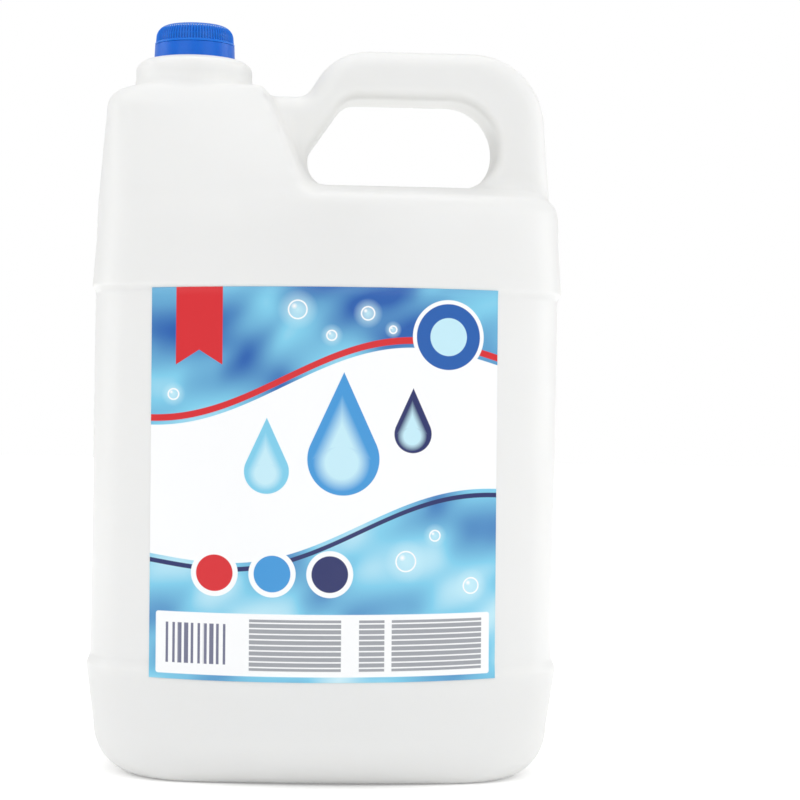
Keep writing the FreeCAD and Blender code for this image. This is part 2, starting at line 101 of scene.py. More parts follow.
# %% [markdown]
# Every finish below is a small recipe of shader nodes. Reading chains of nodes is hard, so `Value`
# wraps a socket and lets sums be written as sums, and `Finish` adds every other node by one method:
# its kind, its settings, and what goes into its sockets.

# %% Shader values that read like sums
class Value:
    """A number, colour or vector that a shader works out, held by the finish that it belongs to."""

    def __init__(self, finish, socket):
        self.finish = finish
        self.socket = socket

    def sum(self, operation, *others):
        return self.finish.node("Math", {"operation": operation}, dict(enumerate(others)))

    def __add__(self, other):
        return self.sum("ADD", self, other)

    def __sub__(self, other):
        return self.sum("SUBTRACT", self, other)

    def __rsub__(self, other):
        return self.sum("SUBTRACT", other, self)

    def __mul__(self, other):
        return self.sum("MULTIPLY", self, other)

    def __truediv__(self, other):
        return self.sum("DIVIDE", self, other)

    def __neg__(self):
        return self.sum("MULTIPLY", self, -1.0)

    def __abs__(self):
        return self.sum("ABSOLUTE", self)

    def __pow__(self, power):
        return self.sum("POWER", self, power)

    def least(self, other):
        return self.sum("MINIMUM", self, other)

    def most(self, other):
        return self.sum("MAXIMUM", self, other)

    def wave(self):
        return self.sum("SINE", self)

    def root(self):
        return self.sum("SQRT", self)

    def inside(self, blur):
        """1 where the value is above nothing, 0 where it is below, with an edge as wide as the blur."""
        return self.finish.node("Math", {"operation": "MULTIPLY_ADD", "use_clamp": True},
                                {0: self, 1: 1.0 / blur, 2: 0.5})


class Finish:
    """A material being mixed."""

    def __init__(self, name):
        self.material = bpy.data.materials.new(name)
        self.material.use_nodes = True
        self.tree = self.material.node_tree
        self.tree.nodes.clear()

    def node(self, kind, settings=None, inputs=None, out=0):
        """Adds a node: settings first, then its sockets' values or links. Gives one of its outputs."""
        node = self.tree.nodes.new("ShaderNode" + kind)
        for name, setting in (settings or {}).items():
            if name == "stops":
                for stop, (place, colour) in zip(
                        [node.color_ramp.elements[0], node.color_ramp.elements[1]]
                        + [node.color_ramp.elements.new(0.5) for _ in setting[2:]], setting):
                    stop.position, stop.color = place, (*colour, 1.0)
            else:
                setattr(node, name, setting)
        for key, value in (inputs or {}).items():
            if isinstance(value, Value):
                self.tree.links.new(value.socket, node.inputs[key])
            else:
                node.inputs[key].default_value = value
        return Value(self, node.outputs[out]) if node.outputs else None

    def place(self):
        """Where a point of the piece is, in millimetres: x, y and z."""
        at = self.node("TexCoord", out="Object")
        grown = self.node("VectorMath", {"operation": "SCALE"}, {0: at, "Scale": 1 / MM})
        return [self.node("SeparateXYZ", None, {0: grown}, out) for out in range(3)]

    def mix(self, share, first, second):
        """The first colour, with a share of the second over it."""
        return self.node("Mix", {"data_type": "RGBA"}, {0: share, 6: first, 7: second}, 2)

    def noise(self, scale, detail=2.0, vector=None):
        """Soft random spots from 0 to 1. The scale is in spots per metre."""
        at = vector or self.node("TexCoord", out="Object")
        return self.node("TexNoise", None, {"Vector": at, "Scale": scale, "Detail": detail}, "Fac")

    def bump(self, height, strength, distance):
        """Turns a height from 0 to 1 into a dent as deep as the distance in millimetres."""
        return self.node("Bump", None, {"Height": height, "Strength": strength, "Distance": distance * MM})

    def surface(self, **sockets):
        """Ends the recipe with the shader that meets the light."""
        names = {name.replace("_", " "): value for name, value in sockets.items()}
        shader = self.node("BsdfPrincipled", None, names)
        self.node("OutputMaterial", None, {"Surface": shader})
        return self.material


def paint(red, green, blue):
    """A screen colour from 0 to 255, as the linear colour that a shader works in."""
    def linear(value):
        value /= 255
        return value / 12.92 if value <= 0.04045 else ((value + 0.055) / 1.055) ** 2.4

    return (linear(red), linear(green), linear(blue), 1.0)


# %% [markdown]
# White polyethylene isn't a paint: light goes a few millimetres into the wall and comes back soft,
# so a little subsurface light takes the hardness out of the shading. The surface that comes off the
# mould is satin, with a faint ripple. Where the two halves of the mould met, a thin raised line runs
# round the jug in its middle plane.

# %% Finish of the jug
SEAM_HALF_WIDTH = 0.28
NECK_FINISH_Z = 356.0


def jug_plastic():
    mixing = Finish("jug_plastic")
    _, y, z = mixing.place()
    cloud = mixing.noise(14.0, 3.0)
    ripple = mixing.noise(70.0, 2.0)
    grain = mixing.noise(900.0, 3.0)
    seam = (SEAM_HALF_WIDTH - abs(y)).inside(0.3) * (NECK_FINISH_Z - z).inside(1.0) * (z - 2.0).inside(1.0)
    colour = mixing.mix(cloud, paint(242, 242, 240), paint(239, 239, 236))
    colour = mixing.mix(seam * 0.10, colour, paint(205, 205, 200))
    height = ripple * 0.35 + grain * 0.06 + seam * 0.9
    return mixing.surface(
        Base_Color=colour,
        Roughness=mixing.noise(40.0, 3.0) * 0.12 + 0.36,
        IOR=1.53,
        Subsurface_Weight=0.35,
        Subsurface_Radius=(1.0, 0.95, 0.85),
        Subsurface_Scale=4.0 * MM,
        Normal=mixing.bump(height, 0.25, 0.35),
    )


white_plastic = jug_plastic()
print("finish:", white_plastic.name)

# %% [markdown]
# The cap and its tamper band are injection moulded polypropylene, coloured right through. It is a
# clear strong blue, a little translucent at thin edges, and shinier than the jug. The fine grooves
# between the cap's ribs get a deeper blue as painted shade, for the light that hardly reaches them.

# %% Finish of the cap
NECK_X = -68.2
CAP_FOOT, CAP_TOP, CAP_RADIUS, CAP_EDGE, CAP_BORE = 362.4, 372.4, 20.15, 6.2, 19.05
RIBS = 84
GROOVE_FOOT = CAP_FOOT + 1.32
GROOVE_END, GROOVE_FADE = 13.6, 5.4
BORE_TOP, CEILING, CEILING_RADIUS = 366.9, CAP_TOP - 1.5, 17.0
BORE_LEAN = 0.45
GROOVE_SHADE = 0.55


def cap_plastic(name, colour, deeper, ribbed):
    mixing = Finish(name)
    spots = mixing.noise(260.0, 3.0)
    shade = mixing.mix(spots, colour, deeper)
    if ribbed:
        x, y, z = mixing.place()
        aside = x - NECK_X
        angle = mixing.node("Math", {"operation": "ARCTAN2"}, {0: y, 1: aside})
        in_groove = 0.5 - mixing.node("Math", {"operation": "COSINE"}, {0: angle * RIBS}) * 0.5
        radius = (aside * aside + y * y).root()
        fade = ((radius - GROOVE_END) / GROOVE_FADE).most(0.0).least(1.0)
        off_bore = radius - CAP_BORE - 0.12 + (z - BORE_TOP).most(0.0) * BORE_LEAN
        outside = off_bore.most(z - CEILING).inside(0.1) * (z - GROOVE_FOOT).inside(0.2)
        # painted shade: the grooves between the ribs get a deeper blue, where less light reaches into them
        shade = mixing.mix(in_groove * fade * outside * GROOVE_SHADE, shade, paint(2, 50, 140))
    return mixing.surface(
        Base_Color=shade,
        Roughness=mixing.noise(500.0, 2.0) * 0.10 + 0.28,
        IOR=1.49,
        Specular_IOR_Level=0.3,
        Subsurface_Weight=0.15,
        Subsurface_Radius=(0.2, 0.5, 1.0),
        Subsurface_Scale=1.0 * MM,
        Normal=mixing.bump(mixing.noise(1500.0, 2.0), 0.15, 0.05),
    )


blue_plastic = cap_plastic("cap_plastic", paint(4, 116, 222), paint(2, 109, 216), ribbed=True)
# painted shade: the band is the same plastic as the cap, given a slightly deeper blue
band_plastic = cap_plastic("band_plastic", paint(6, 104, 212), paint(4, 97, 205), ribbed=False)

# %% [markdown]
# The body of the jug is one closed outline that changes from level to level: bowed front and back,
# flat sides, round corners. In Blender such a form is a stack of rings, each made by `create_circle`
# and laid on the outline of its level, then joined by `bridge_loops`. This gives long even faces, so
# the bands and ledges stay crisp and the bowed faces stay free of ripples.

# %% Levels of the body
LEAN_FOOT, LEAN_REACH = 262.0, 16.0
HEEL_HEIGHT = 24.0
# height, half width, half depth, radius of the bowed faces, radius of the corners
BAND = (116.2, 89.0, 178.0, 36.0)
PANEL = (114.55, 88.5, 172.0, 36.0)
FOOT = (89.0, 64.0, 900.0, 34.0)
HEEL_TOP = (112.3, 85.1, 178.0, 36.0)
LEAN_START = (114.5, 87.3, 178.0, 36.0)
LEAN_END = (114.3, 84.4, 178.0, 36.0)


def between(first, second, share):
    """A level's sizes a share of the way from one to another; the bow is blended as curvature."""
    width, depth, bow, corner = (a + (b - a) * share for a, b in zip(first, second))
    bow = 1 / (1 / first[2] + (1 / second[2] - 1 / first[2]) * share)
    return (width, depth, bow, corner)


def lean(height):
    """The roll back of the faces from the upper band to the shoulder's edge."""
    share = ((height - LEAN_FOOT) / LEAN_REACH) ** 2
    return (height, *between(LEAN_START, LEAN_END, share))


def heel(steps):
    turns = [math.radians(90 * step / steps) for step in range(steps + 1)]
    return [(HEEL_HEIGHT * (1 - math.cos(turn)), *between(FOOT, HEEL_TOP, math.sin(turn)))
            for turn in turns]


def ledge(foot, head, start, end, steps=8):
    """An S-shaped step between two levels."""
    shares = [step / steps for step in range(steps + 1)]
    return [(foot + (head - foot) * share, *between(start, end, (1 - math.cos(math.pi * share)) / 2))
            for share in shares]


recess_top = (4.0, 63.0, 38.0, 900.0, 21.0)
recess_turn = (3.4, 65.4, 40.4, 900.0, 22.2)
recess_foot = (0.35, 70.2, 45.2, 900.0, 24.6)
recess_rim = (0.0, 71.6, 46.6, 900.0, 25.3)
SKIN_TOP = 265.0
levels = ([recess_top, recess_turn, recess_foot, recess_rim] + heel(16)
          + [(height, *between(HEEL_TOP, BAND, (height - HEEL_HEIGHT) / 28.4))
             for height in (31.0, 38.0, 45.0)]
          + ledge(52.4, 59.0, BAND, PANEL)
          + [(height, *PANEL) for height in (90.0, 130.0, 170.0, 210.0)]
          + ledge(234.0, 238.6, PANEL, BAND)
          + [(height, *between(BAND, LEAN_START, (height - 238.6) / 23.4))
             for height in (246.0, 254.0, LEAN_FOOT)]
          + [lean(SKIN_TOP)])
print(len(levels), "levels from", levels[0][0], "to", levels[-1][0], "mm")


# %% Outline of one level
SIDE_STEPS, CORNER_STEPS, BOW_STEPS = 5, 14, 21


def bow_parts(half_width, half_depth, bow, corner):
    """The bow's centre on the Y axis, the corner's centre, and the angle where the two arcs meet."""
    centre = half_depth - bow
    corner_x = half_width - corner
    corner_y = centre + math.sqrt((bow - corner) ** 2 - corner_x ** 2)
    return centre, corner_x, corner_y, math.atan2(corner_y - centre, corner_x)


def outline(half_width, half_depth, bow, corner):
    """Points once round a level, the same number on each, starting in the middle of the +X side."""
    centre, corner_x, corner_y, meet = bow_parts(half_width, half_depth, bow, corner)
    quarter = [(half_width, corner_y * step / SIDE_STEPS) for step in range(SIDE_STEPS)]
    for step in range(CORNER_STEPS):
        angle = meet * step / CORNER_STEPS
        quarter.append((corner_x + corner * math.cos(angle), corner_y + corner * math.sin(angle)))
    for step in range(BOW_STEPS + 1):
        angle = meet + (math.pi / 2 - meet) * step / BOW_STEPS
        quarter.append((bow * math.cos(angle), centre + bow * math.sin(angle)))
    half = quarter + [(-x, y) for x, y in reversed(quarter[1:-1])] + [(-half_width, 0.0)]
    return half + [(x, -y) for x, y in reversed(half[1:-1])]


def add_ring(bm, points, height):
    """A closed ring of edges through points of one level."""
    made = bmesh.ops.create_circle(bm, segments=len(points), radius=1.0)["verts"]
    for vert, (x, y) in zip(made, points):
        vert.co = Vector((x, y, height)) * MM
    return list({edge for vert in made for edge in vert.link_edges})


def join_rings(bm, rings):
    for below, above in zip(rings, rings[1:]):
        bmesh.ops.bridge_loops(bm, edges=below + above)


body_skin = bmesh.new()
rings = [add_ring(body_skin, outline(*sizes), height) for height, *sizes in levels]
join_rings(body_skin, rings)
bmesh.ops.edgeloop_fill(body_skin, edges=rings[0])
print("lower skin:", len(body_skin.faces), "faces")

# %% [markdown]
# The shoulder, the tower and the hollow handle grow into each other, and no single outline describes
# that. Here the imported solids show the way. The jug is packed as four that meet face to face, so
# those faces are taken out first and the skins are joined again. Then the outer skin above the body
# is turned into an even mesh by a voxel remesh, and relaxed. Relaxing moves each point towards the
# middle of its neighbours and most of it back, which melts facets and creases but keeps the size.

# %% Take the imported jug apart
JUG_NODES = ("jug_body", "jug_tower", "jug_neck", "jug_handle")
BODY_DIVISION_Z, TOWER_DIVISION_X = 270.0, -20.0
JOIN_REACH = 0.02
NECK_AXIS = Vector((NECK_X, 0.0, 0.0)) * MM
NECK_SEAT, NECK_TOP = 355.0, 369.9
COLLAR_RADIUS, COLLAR_TOP, COLLAR_DOME = 29.4, 349.2, 9.0
WALL = 1.2
SKIN_FOOT = 258.0
NECK_REACH, CUT_DEPTH = 34.0, 6.0
NECK_CUT = NECK_SEAT - 0.6
SKIN_JOIN = 270.0
COLLAR_CUT = COLLAR_TOP - 3.6
CAVITY_CUT = COLLAR_TOP - 3.0


def on_division(face):
    """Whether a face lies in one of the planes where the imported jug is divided."""
    level = all(abs(v.co.z / MM - BODY_DIVISION_Z) < 1e-3 for v in face.verts)
    upright = all(abs(v.co.x / MM - TOWER_DIVISION_X) < 1e-3 for v in face.verts)
    return level or upright


def around_neck(vert):
    return (Vector((vert.co.x, vert.co.y, 0)) - NECK_AXIS).length < NECK_REACH * MM


def cut_off(bm, geometry, height, above):
    """Cuts level through part of a mesh and throws away what is above the cut, or below it."""
    bmesh.ops.bisect_plane(bm, geom=geometry, dist=1e-7, plane_co=(0, 0, height * MM),
                           plane_no=(0, 0, 1), clear_outer=above, clear_inner=not above)


def neck_region(bm, lowest):
    verts = [v for v in bm.verts if around_neck(v) and v.co.z > lowest * MM]
    chosen = set(verts)
    edges = [e for e in bm.edges if e.verts[0] in chosen and e.verts[1] in chosen]
    faces = [f for f in bm.faces if all(v in chosen for v in f.verts)]
    return verts + edges + faces


def island_of(start):
    """All vertices that hang together with the first one."""
    found, waiting = {start}, [start]
    while waiting:
        for edge in waiting.pop().link_edges:
            for vert in edge.verts:
                if vert not in found:
                    found.add(vert)
                    waiting.append(vert)
    return found


def packed_skin(keep_outer):
    """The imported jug's outer or inner skin below the neck's foot, as one mesh with shared corners."""
    bm = bmesh.new()
    for node in JUG_NODES:
        part = bmesh.new()
        part.from_mesh(nodes[node].data)
        bmesh.ops.remove_doubles(part, verts=part.verts, dist=1e-6)
        bmesh.ops.delete(part, geom=[face for face in part.faces if on_division(face)], context="FACES")
        mesh = bpy.data.meshes.new(node)
        part.to_mesh(mesh)
        part.free()
        bm.from_mesh(mesh)
        bpy.data.meshes.remove(mesh)
    bmesh.ops.remove_doubles(bm, verts=bm.verts, dist=JOIN_REACH * MM)
    cut_off(bm, neck_region(bm, NECK_CUT - 2 * CUT_DEPTH), NECK_CUT, above=True)
    outer = island_of(max(bm.verts, key=lambda v: v.co.x))
    unwanted = [v for v in bm.verts if (v in outer) != keep_outer]
    bmesh.ops.delete(bm, geom=unwanted, context="VERTS")
    return bm


upper = packed_skin(keep_outer=True)
cut_off(upper, upper.verts[:] + upper.edges[:] + upper.faces[:], SKIN_FOOT, above=False)
print("packed outer skin above the body:", len(upper.faces), "faces")

# %% Even mesh
VOXEL = 1.7
CAVITY_VOXEL = 3.0


def close_openings(bm):
    bmesh.ops.holes_fill(bm, edges=[e for e in bm.edges if e.is_boundary], sides=0)
    bmesh.ops.triangulate(bm, faces=[f for f in bm.faces if len(f.verts) > 4])


def remeshed(bm, voxel):
    """The same form in even square faces, with its openings closed."""
    close_openings(bm)
    mesh = bpy.data.meshes.new("even")
    bm.to_mesh(mesh)
    bm.free()
    holder = bpy.data.objects.new("even", mesh)
    bpy.context.scene.collection.objects.link(holder)
    remesh = holder.modifiers.new("voxels", "REMESH")
    remesh.mode = "VOXEL"
    remesh.voxel_size = voxel * MM
    shape = holder.evaluated_get(bpy.context.evaluated_depsgraph_get())
    even = bpy.data.meshes.new_from_object(shape)
    bpy.data.objects.remove(holder)
    return even


even = remeshed(upper, VOXEL)
cavity = remeshed(packed_skin(keep_outer=False), CAVITY_VOXEL)
print("even mesh:", len(even.vertices), "vertices, cavity:", len(cavity.vertices))

# %% Relax
KEEP, GIVE_BACK = 0.5, -0.53
CREASE_RADIUS, CREASE_ROUNDS, MELT_ROUNDS = 13.0, 160, 26
COLLAR_REACH, COLLAR_FOOT, COLLAR_SHARE = 33.0, 341.5, 0.35
SHOULDER_START = 272.0
SHARE_ROUNDS, SHARE_STEP = 4, 0.7
FLANK_BOX = ((-50.0, 6.0), (284.0, 336.0), 24.0)


def pull(points, edges, count):
    """From each point to the middle of its neighbours."""
    total = np.zeros_like(points)
    np.add.at(total, edges[:, 0], points[edges[:, 1]])
    np.add.at(total, edges[:, 1], points[edges[:, 0]])
    return total / count[:, None] - points


def relax(points, edges, rounds, share):
    """Smooths by rounds of moving in and moving back out, by each point's share."""
    count = np.bincount(edges.ravel(), minlength=len(points)).astype(float)
    for _ in range(rounds):
        points = points + KEEP * share[:, None] * pull(points, edges, count)
        points = points + GIVE_BACK * share[:, None] * pull(points, edges, count)
    return points


def melt(points, edges, rounds, share):
    """Rounds edges off and hollows out, wherever the share is above nothing."""
    count = np.bincount(edges.ravel(), minlength=len(points)).astype(float)
    share = share.copy()
    for _ in range(SHARE_ROUNDS):
        share += pull(share[:, None], edges, count)[:, 0] * SHARE_STEP
    for _ in range(rounds):
        points = points + KEEP * share[:, None] * pull(points, edges, count)
    return points


def fill_creases(points, edges, normals_of, rounds, radius, share):
    """Rounds the inner corners out to a radius: only points in a hollow tighter than that move."""
    count = np.bincount(edges.ravel(), minlength=len(points)).astype(float)
    length = np.linalg.norm(points[edges[:, 0]] - points[edges[:, 1]], axis=1).mean()
    limit = length ** 2 / (4 * radius)
    for _ in range(rounds):
        toward = pull(points, edges, count)
        normals = normals_of(points)
        rise = (toward * normals).sum(axis=1)
        moving = (rise > limit) * share * (rise - limit)
        points = points + 0.9 * moving[:, None] * normals
    return points


points = np.empty(len(even.vertices) * 3)
even.vertices.foreach_get("co", points)
points = points.reshape(-1, 3) / MM
edges = np.empty(len(even.edges) * 2, dtype=np.int64)
even.edges.foreach_get("vertices", edges)
edges = edges.reshape(-1, 2)


def normals_of(points):
    """The directions in which the even mesh's surface faces at given points."""
    even.vertices.foreach_set("co", (points * MM).ravel())
    even.update()
    normals = np.empty(len(points) * 3)
    even.vertex_normals.foreach_get("vector", normals)
    return normals.reshape(-1, 3)


# the collar's upright wall moves less than the rest, because the neck is fitted to it
from_neck = np.hypot(points[:, 0] - NECK_X, points[:, 1])
collar_wall = (from_neck < COLLAR_REACH) & (points[:, 2] > COLLAR_FOOT)
free = np.where(collar_wall, COLLAR_SHARE, 1.0)
hollows = np.where(points[:, 2] > SHOULDER_START, free, 0.0)
points = relax(points, edges, 14, free)
points = fill_creases(points, edges, normals_of, CREASE_ROUNDS, CREASE_RADIUS, hollows)
points = relax(points, edges, 10, free)
x, y, z = points.T
(flank_left, flank_right), (flank_foot, flank_top), flank_depth = FLANK_BOX
flank_corner = ((x > flank_left) & (x < flank_right) & (z > flank_foot) & (z < flank_top)
                & (abs(y) > flank_depth))
points = melt(points, edges, MELT_ROUNDS, np.where(flank_corner, 1.0, 0.0))
normals_of(points)
print("relaxed, lowest and highest in mm:", points.min(axis=0).round(1), points.max(axis=0).round(1))

# %% [markdown]
# The neck is a turned form, so half its outline is drawn once, from the foot of the collar up over
# the dome, the bead and the rim and down the bore, and `spin` turns it round the neck's axis. The
# thread is one turn of a small trapezoid. Spinning with a step along the axis draws the helix.

# %% Neck
NECK_RADIUS, NECK_BORE, NECK_BEAD = 17.5, 15.2, 19.0
DOME_STEPS = 7


def dome(radius, width, foot, top):
    """The quarter round of the collar's dome, from its upright wall to its flat top."""
    turns = [math.radians(90 * step / DOME_STEPS) for step in range(DOME_STEPS + 1)]
    return [(radius - width * (1 - math.cos(turn)), foot + (top - foot) * math.sin(turn)) for turn in turns]


def neck_profile():
    """The neck in section: up the collar's outside, over dome, bead and rim, and down the inside."""
    seat, bead, top = NECK_SEAT, NECK_SEAT + 2.9, NECK_TOP
    outside = [(COLLAR_RADIUS, COLLAR_TOP - 2.8)] + dome(COLLAR_RADIUS, COLLAR_DOME, COLLAR_TOP, seat)
    outside += [(18.6, seat), (17.9, seat + 0.15), (NECK_RADIUS, seat + 0.7)]
    outside += [(NECK_RADIUS, bead), (18.8, bead + 0.2), (NECK_BEAD, bead + 0.4), (NECK_BEAD, bead + 0.65),
                (18.7, bead + 0.9), (17.6, bead + 1.5), (NECK_RADIUS, bead + 1.7)]
    rim = [(NECK_RADIUS, top - 0.6), (17.3, top - 0.15), (16.9, top), (15.7, top), (15.3, top - 0.2)]
    inside = dome(COLLAR_RADIUS - WALL, COLLAR_DOME, COLLAR_TOP - WALL, seat - WALL)[::-1]
    return outside + rim + [(NECK_BORE, top - 0.6), (NECK_BORE, seat - 0.6), (15.6, seat - 1.1)] + inside


NECK_STEPS = 96
THREAD_PITCH, THREAD_START = 4.233, 364.2
THREAD_STEPS = 60


def turned(bm, profile, steps, closed=False):
    """Spins a profile of (radius, height) once round the neck's axis."""
    verts = [bm.verts.new(NECK_AXIS + Vector((radius, 0, height)) * MM) for radius, height in profile]
    pairs = list(zip(verts, verts[1:] + verts[:1] if closed else verts[1:]))
    edges = [bm.edges.new(pair) for pair in pairs]
    bmesh.ops.spin(bm, geom=verts + edges, cent=NECK_AXIS, axis=(0, 0, 1), angle=2 * math.pi,
                   steps=steps, use_merge=True)


def add_thread(bm, wall, crest, start_height, start_turn):
    """A helical ridge from a wall's radius to its crest's, once round, closed at both ends."""
    start = NECK_AXIS + Vector((0, 0, (start_height + THREAD_PITCH * start_turn) * MM))
    turn = Matrix.Rotation(2 * math.pi * start_turn, 4, "Z")
    corners = [(wall, -1.15), (crest, -0.5), (crest, 0.5), (wall, 1.15)]
    verts = [bm.verts.new(start + turn @ (Vector((radius, 0, height)) * MM)) for radius, height in corners]
    face = bm.faces.new(verts)
    known = set(bm.faces)
    bmesh.ops.spin(bm, geom=[face], cent=NECK_AXIS, axis=(0, 0, 1), angle=2 * math.pi,
                   dvec=(0, 0, THREAD_PITCH * MM / THREAD_STEPS), steps=THREAD_STEPS)
    ridge = [face] + [f for f in bm.faces if f not in known]
    bmesh.ops.recalc_face_normals(bm, faces=ridge)


LOOP_HEIGHT_SLACK, LOOP_RADIUS_SLACK = 0.3, 0.6


def open_loop(bm, height, radius=None):
    """The open edges of a mesh near a height, and near a distance from the neck's axis."""
    found = []
    for edge in bm.edges:
        middle = (edge.verts[0].co + edge.verts[1].co) / 2
        away = (Vector((middle.x, middle.y, 0)) - NECK_AXIS).length / MM
        level = abs(middle.z / MM - height) < LOOP_HEIGHT_SLACK
        if edge.is_boundary and level and (radius is None or abs(away - radius) < LOOP_RADIUS_SLACK):
            found.append(edge)
    return found


# %% Join skin, neck and cavity
def jug_form():
    bm = bmesh.new()
    bm.from_mesh(even)
    cut_off(bm, bm.verts[:] + bm.edges[:] + bm.faces[:], SKIN_JOIN, above=False)
    cut_off(bm, neck_region(bm, COLLAR_CUT - CUT_DEPTH), COLLAR_CUT, above=True)
    bm.from_mesh(cavity)
    cut_off(bm, neck_region(bm, CAVITY_CUT - CUT_DEPTH), CAVITY_CUT, above=True)
    mesh = bpy.data.meshes.new("lower")
    body_skin.to_mesh(mesh)
    body_skin.free()
    bm.from_mesh(mesh)
    profile = neck_profile()
    turned(bm, profile, NECK_STEPS)
    joints = ((SKIN_TOP, None, SKIN_JOIN, None), (COLLAR_CUT, COLLAR_RADIUS, profile[0][1], COLLAR_RADIUS),
              (CAVITY_CUT, COLLAR_RADIUS - WALL, profile[-1][1], COLLAR_RADIUS - WALL))
    for low, low_radius, high, high_radius in joints:
        lower, upper = open_loop(bm, low, low_radius), open_loop(bm, high, high_radius)
        print("joint at", low, "mm:", len(lower), "and", len(upper), "open edges")
        bmesh.ops.bridge_loops(bm, edges=lower + upper)
    print("open edges left:", sum(e.is_boundary for e in bm.edges))
    bmesh.ops.recalc_face_normals(bm, faces=bm.faces)
    add_thread(bm, NECK_RADIUS - 0.25, NECK_RADIUS + 1.2, THREAD_START, 0.0)
    return bm


def add_piece(name, bm, body, material, replaced, sharp=40.0):
    """Makes a finished piece of a mesh: smooth, with its finish, riding on its body."""
    mesh = bpy.data.meshes.new(name)
    bm.to_mesh(mesh)
    bm.free()
    mesh.polygons.foreach_set("use_smooth", [True] * len(mesh.polygons))
    mesh.set_sharp_from_angle(angle=math.radians(sharp))
    mesh.materials.append(material)
    piece = bpy.data.objects.new(name, mesh)
    bpy.context.scene.collection.objects.link(piece)
    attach(piece, body)
    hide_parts(*replaced)
    print(name, len(mesh.polygons), "faces")
    return piece


jug = add_piece("jug_skin", jug_form(), "bottle", white_plastic, JUG_NODES)

# %% [markdown]
# The cap is a turned form too, with fine ribs for wet fingers. Each rib is four steps of the spin:
# crest, slope, groove, slope. The ribs run up over the rounded edge and fade out on the top, as they
# do on the real cap, so each point is pushed in along the surface by how deep the groove is there.

# %% Cap
RIB_DEPTH, RIB_CREST, RIB_TAPER = 0.5, 19.8, 0.2
EDGE_STEPS = 12


def cap_profile():
    """The cap in section: up the outside, over the edge, then back down the inside."""
    foot, edge_foot = CAP_FOOT + 1.35, CAP_TOP - CAP_EDGE
    outside = [(CAP_RADIUS - 0.3, CAP_FOOT), (CAP_RADIUS, CAP_FOOT + 0.2), (CAP_RADIUS, CAP_FOOT + 0.95),
               (RIB_CREST + 0.02, foot - 0.05), (RIB_CREST, foot), (RIB_CREST, foot + 0.3),
               (RIB_CREST - RIB_TAPER / 2, (foot + edge_foot) / 2)]
    crest = RIB_CREST - RIB_TAPER
    for step in range(EDGE_STEPS + 1):
        angle = math.radians(90 * step / EDGE_STEPS)
        outside.append((crest - CAP_EDGE * (1 - math.cos(angle)), edge_foot + CAP_EDGE * math.sin(angle)))
    return outside + [(9.0, CAP_TOP), (4.5, CAP_TOP), (0.0, CAP_TOP), (0.0, CEILING), (10.0, CEILING),
                      (CEILING_RADIUS, CEILING), (CEILING_RADIUS + 0.6, CEILING - 0.7),
                      (CAP_BORE, BORE_TOP), (CAP_BORE, CAP_FOOT + 0.2), (CAP_BORE + 0.2, CAP_FOOT)]


def groove(vert):
    """How deep a rib's groove is at a point of the cap's outside, in millimetres."""
    away = vert.co - NECK_AXIS
    outwards = Vector((away.x, away.y, 0)).normalized()
    if away.z / MM < GROOVE_FOOT or vert.normal.z < -0.2 or vert.normal.dot(outwards) < -0.3:
        return 0.0
    fade = min(1.0, max(0.0, (math.hypot(away.x, away.y) / MM - GROOVE_END) / GROOVE_FADE))
    return RIB_DEPTH * fade * (1 - math.cos(math.atan2(away.y, away.x) * RIBS)) / 2


def cap_form():
    bm = bmesh.new()
    turned(bm, cap_profile(), RIBS * 4, closed=True)
    bmesh.ops.remove_doubles(bm, verts=bm.verts, dist=1e-6)
    bmesh.ops.recalc_face_normals(bm, faces=bm.faces)
    bm.normal_update()
    depths = [(vert, groove(vert)) for vert in bm.verts]
    for vert, depth in depths:
        if depth:
            inward = (NECK_AXIS - vert.co).to_2d().to_3d().normalized()
            vert.co += (inward * 0.6 - vert.normal * 0.4) * depth * MM
    lowest = CAP_FOOT + 1.45
    halfway = THREAD_START - THREAD_PITCH / 2
    add_thread(bm, CAP_BORE + 0.25, CAP_BORE - 1.2, halfway, (lowest - halfway) / THREAD_PITCH)
    return bm


cap = add_piece("ribbed_cap", cap_form(), "cap", blue_plastic, ["screw_cap"], sharp=50.0)

# %% [markdown]
# The label is a thin film that follows the bowed face. It starts as a flat grid. Each point is then
# laid on the face of the jug at its own height, a little way off it, and `solidify` gives the film
# its thickness. It was put on half a degree out of level, as machines do.

# %% Label film
LABEL_WIDTH, LABEL_FOOT, LABEL_HEAD = 165.0, 51.4, 236.8
LABEL_CENTRE = Vector((-2.4, 0.0, (LABEL_FOOT + LABEL_HEAD) / 2))
LABEL_TURN = math.radians(-0.5)
LABEL_FILM, LABEL_GAP = 0.2, 0.15


def sizes_at(height):
    """The sizes of the body's level at any height."""
    for (low, *first), (high, *second) in zip(levels[3:], levels[4:]):
        if low <= height <= high:
            return between(first, second, (height - low) / (high - low or 1.0))
    raise ValueError(height)


def face_depth(x, height):
    """How far the bowed face stands out from the middle plane, and the direction in which it looks."""
    half_width, half_depth, bow, corner = sizes_at(height)
    centre, corner_x, corner_y, meet = bow_parts(half_width, half_depth, bow, corner)
    if abs(x) <= bow * math.cos(meet):
        depth = centre + math.sqrt(bow ** 2 - x ** 2)
        return depth, Vector((x, -(depth - centre), 0)).normalized()
    aside = abs(x) - corner_x
    depth = corner_y + math.sqrt(corner ** 2 - aside ** 2)
    return depth, Vector((math.copysign(aside, x), -(depth - corner_y), 0)).normalized()


